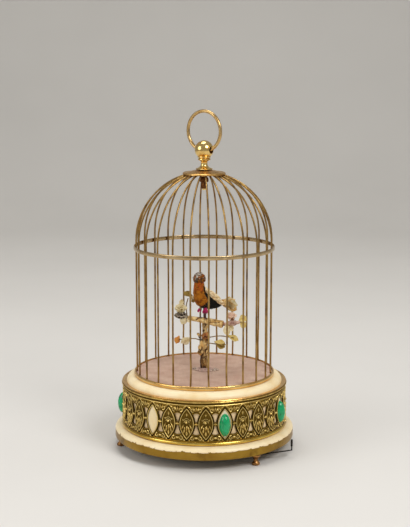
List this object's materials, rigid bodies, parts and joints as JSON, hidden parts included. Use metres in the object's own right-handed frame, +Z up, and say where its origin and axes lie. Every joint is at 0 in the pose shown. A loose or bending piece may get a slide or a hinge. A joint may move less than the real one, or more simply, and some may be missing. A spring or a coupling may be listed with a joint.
{
  "type": "singing bird cage",
  "caption": "Round gilt bird cage automaton: domed wire cage on a cream and pierced brass base with green stones, an orange bird on a branch, and a wind-up movement inside.",
  "frame": {"origin": "centre of the underside, on the plane of the feet's soles", "axes": "+Z up along the cage's axis, front at -Y, the start lever at the right on +X"},
  "size_m": [0.149, 0.149, 0.2798],
  "materials": {
    "gilt_brass": "gilt brass with browned patches, worn bright on the high spots",
    "cream_enamel": "cream paint, half gloss, chipped along the plinth's lower edge",
    "stamped_brass": "pressed brass, dark in the hollows",
    "green_stone": "polished green cabochon with darker bands",
    "pink_paper": "faded dusty pink paper with a fine grain",
    "browned_brass": "browned, dull",
    "painted_branch": "flaky ochre and cream paint over a wrapped branch, with cloth leaves and blossoms",
    "feathers": "orange breast, black wings, grey crown, cream mantle and tail",
    "painted_horn": "dark beak",
    "blued_steel": "blued black wire",
    "plain_steel": "plain steel, lightly brushed",
    "kid_leather": "thin pale kid leather",
    "board_wood": "plain hardwood board"
  },
  "bodies": {
    "cage": {"foot_1": "gilt_brass", "foot_2": "gilt_brass", "foot_3": "gilt_brass", "plinth": "cream_enamel", "bottom_plate": "plain_steel", "base_drum": "cream_enamel", "frieze_band": "stamped_brass", "cabochon_1": "green_stone", "cabochon_2": "green_stone", "cabochon_3": "green_stone", "cabochon_4": "green_stone", "cabochon_5": "green_stone", "cabochon_6": "green_stone", "cage_floor": "pink_paper", "cage_base_ring": "gilt_brass", "cage_hoop": "gilt_brass", "cage_cap": "gilt_brass", "wire_01": "gilt_brass", "wire_02": "gilt_brass", "wire_03": "gilt_brass", "wire_04": "gilt_brass", "wire_05": "gilt_brass", "wire_06": "gilt_brass", "wire_07": "gilt_brass", "wire_08": "gilt_brass", "wire_09": "gilt_brass", "wire_10": "gilt_brass", "wire_11": "gilt_brass", "wire_12": "gilt_brass", "wire_13": "gilt_brass", "wire_14": "gilt_brass", "wire_15": "gilt_brass", "wire_16": "gilt_brass", "wire_17": "gilt_brass", "wire_18": "gilt_brass", "wire_19": "gilt_brass", "wire_20": "gilt_brass", "wire_21": "gilt_brass", "wire_22": "gilt_brass", "wire_23": "gilt_brass", "wire_24": "gilt_brass", "finial": "gilt_brass", "finial_nut": "browned_brass", "tree": "painted_branch", "bird_body": "feathers", "movement_frame": "stamped_brass", "bellows": "kid_leather", "whistle": "stamped_brass"},
    "hanging_ring": {"hanging_ring": "gilt_brass"},
    "bird_head": {"bird_head": "feathers"},
    "lower_beak": {"lower_beak": "painted_horn"},
    "bird_tail": {"bird_tail": "feathers"},
    "bird_rod": {"bird_rod": "plain_steel"},
    "start_lever": {"start_lever": "blued_steel"},
    "winding_key": {"winding_key": "plain_steel"},
    "spring_barrel": {"spring_barrel": "stamped_brass"},
    "cam_stack": {"cam_stack": "stamped_brass"},
    "governor_fly": {"governor_fly": "plain_steel"},
    "bellows_board": {"bellows_board": "board_wood"},
    "whistle_piston": {"whistle_piston": "plain_steel"}
  },
  "joints": [
    {"name": "ring_swing", "type": "hinge", "parent": "cage", "child": "hanging_ring", "pos_m": [0, 0, 0.24715], "axis": [0.809, -0.5878, 0], "range_deg": [-124, 124]},
    {"name": "head_turn", "type": "hinge", "parent": "cage", "child": "bird_head", "pos_m": [-0.00388, -0.00195, 0.1373], "axis": [0, 0, 1], "range_deg": [-75, 5]},
    {"name": "beak_open", "type": "hinge", "parent": "bird_head", "child": "lower_beak", "pos_m": [-0.0057, -0.00587, 0.13946], "axis": [0.9063, -0.4226, 0], "range_deg": [0, 25]},
    {"name": "tail_flick", "type": "hinge", "parent": "cage", "child": "bird_tail", "pos_m": [0.01386, 0.00829, 0.1189], "axis": [0.5, -0.866, 0], "range_deg": [0, 10]},
    {"name": "bird_rod_lift", "type": "slide", "parent": "cage", "child": "bird_rod", "axis": [0, 0, 1], "range_m": [0, 0.002]},
    {"name": "start_lever_swing", "type": "hinge", "parent": "cage", "child": "start_lever", "pos_m": [0.03001, -0.05573, 0.0075], "axis": [0, 0, 1], "range_deg": [-10, 0]},
    {"name": "winding_key_turn", "type": "hinge", "parent": "cage", "child": "winding_key", "pos_m": [-0.026, 0.006, 0.008], "axis": [0, 0, 1], "continuous": true},
    {"name": "barrel_turn", "type": "hinge", "parent": "cage", "child": "spring_barrel", "pos_m": [-0.026, 0.006, 0.018], "axis": [0, 0, 1], "continuous": true},
    {"name": "cam_turn", "type": "hinge", "parent": "cage", "child": "cam_stack", "pos_m": [-0.00561, -0.00142, 0.03], "axis": [0, 0, 1], "continuous": true},
    {"name": "fly_turn", "type": "hinge", "parent": "cage", "child": "governor_fly", "pos_m": [0.01222, 0.00172, 0.03], "axis": [0, 0, 1], "continuous": true},
    {"name": "bellows_board_open", "type": "hinge", "parent": "cage", "child": "bellows_board", "pos_m": [-0.015, -0.038, 0.0143], "axis": [0, -1, 0], "range_deg": [0, 6]},
    {"name": "whistle_piston_slide", "type": "slide", "parent": "cage", "child": "whistle_piston", "axis": [1, 0, 0], "range_m": [-0.006, 0.006]}
  ],
  "couplings": [
    {"joint": "cam_turn", "follows": "barrel_turn", "ratio": -5},
    {"joint": "fly_turn", "follows": "barrel_turn", "ratio": 20},
    {"joint": "beak_open", "follows": "bird_rod_lift", "rad_per_m": 200},
    {"joint": "tail_flick", "follows": "bird_rod_lift", "rad_per_m": 80}
  ]
}
